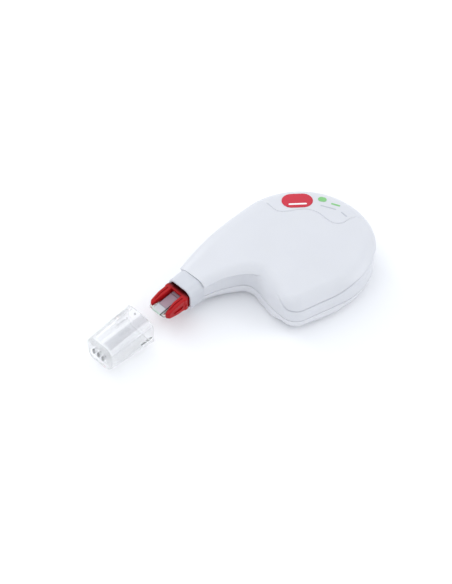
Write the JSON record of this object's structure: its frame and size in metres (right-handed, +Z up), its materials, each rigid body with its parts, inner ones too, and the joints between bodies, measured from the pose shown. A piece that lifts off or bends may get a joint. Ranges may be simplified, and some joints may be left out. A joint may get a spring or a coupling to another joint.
{
  "type": "correction tape roller",
  "caption": "Comma-shaped white correction tape dispenser with a round head, a curved finger grip, a red-armed flexible tip and a clear push-on cap lying in line with the tip.",
  "frame": {"origin": "on the flat rest face of the lower shell, under the axis of the supply reel, which is the centre of the round head", "axes": "+X from the tip towards the round head along the neck, +Y towards the straight back, +Z up out of the rest face"},
  "size_m": [0.1247, 0.0601, 0.0185],
  "materials": {
    "white_shell": "satin moulded polystyrene",
    "white_collar": "satin, slightly translucent",
    "label_red": "printed film",
    "label_green": "printed film",
    "inner_grey": "acetal",
    "inner_white": "acetal",
    "spring_steel": "spring strip",
    "white_tape": "correction film on carrier",
    "carrier_film": "bare carrier",
    "red_plastic": "gloss",
    "clear_plastic": "clear moulded polystyrene",
    "clear_cap": "clear moulded polystyrene"
  },
  "bodies": {
    "casing": {"lower_shell": "white_shell", "upper_shell": "white_shell", "nose_collar": "white_collar", "brand_patch": "label_red", "eco_mark": "label_green", "spool_retainer": "inner_grey", "takeup_retainer": "inner_grey", "tape_run_supply": "white_tape", "tape_run_return": "carrier_film", "tip_holder": "red_plastic", "tip_pivot_pin": "red_plastic"},
    "supply_reel": {"supply_spool": "inner_white", "tape_roll": "white_tape", "clutch_spring": "spring_steel"},
    "supply_gear": {"supply_gear": "inner_grey"},
    "takeup_reel": {"takeup_spool": "inner_white", "spent_tape_roll": "carrier_film"},
    "supply_guide": {"guide_roller_supply": "inner_grey"},
    "return_guide": {"guide_roller_return": "inner_grey"},
    "nose": {"applicator_nose": "clear_plastic", "tape_on_nose": "white_tape"},
    "cap": {"cap": "clear_cap"}
  },
  "joints": [
    {"name": "supply_reel_spin", "type": "hinge", "parent": "casing", "child": "supply_reel", "pos_m": [0, 0, 0.009], "axis": [0, 0, 1], "continuous": true},
    {"name": "supply_gear_spin", "type": "hinge", "parent": "casing", "child": "supply_gear", "pos_m": [0, 0, 0.004], "axis": [0, 0, 1], "continuous": true},
    {"name": "takeup_reel_spin", "type": "hinge", "parent": "casing", "child": "takeup_reel", "pos_m": [-0.01838, -0.01543, 0.004], "axis": [0, 0, 1], "continuous": true},
    {"name": "supply_guide_spin", "type": "hinge", "parent": "casing", "child": "supply_guide", "pos_m": [-0.0303, 0.01928, 0.00925], "axis": [0, 0, 1], "continuous": true},
    {"name": "return_guide_spin", "type": "hinge", "parent": "casing", "child": "return_guide", "pos_m": [-0.0265, 0.01468, 0.00925], "axis": [0, 0, 1], "continuous": true},
    {"name": "nose_flex", "type": "hinge", "parent": "casing", "child": "nose", "pos_m": [-0.0534, 0.01905, 0.00915], "axis": [0, 1, 0], "range_deg": [-6, 6], "stiffness_Nm_per_rad": 0.02},
    {"name": "cap_slide", "type": "slide", "parent": "casing", "child": "cap", "axis": [1, 0, 0], "range_m": [0, 0.0282]}
  ],
  "couplings": [
    {"joint": "supply_gear_spin", "follows": "supply_reel_spin", "ratio": 0.8},
    {"joint": "takeup_reel_spin", "follows": "supply_reel_spin", "ratio": -3.2},
    {"joint": "supply_guide_spin", "follows": "supply_reel_spin", "ratio": 8.8889},
    {"joint": "return_guide_spin", "follows": "supply_reel_spin", "ratio": -8}
  ]
}
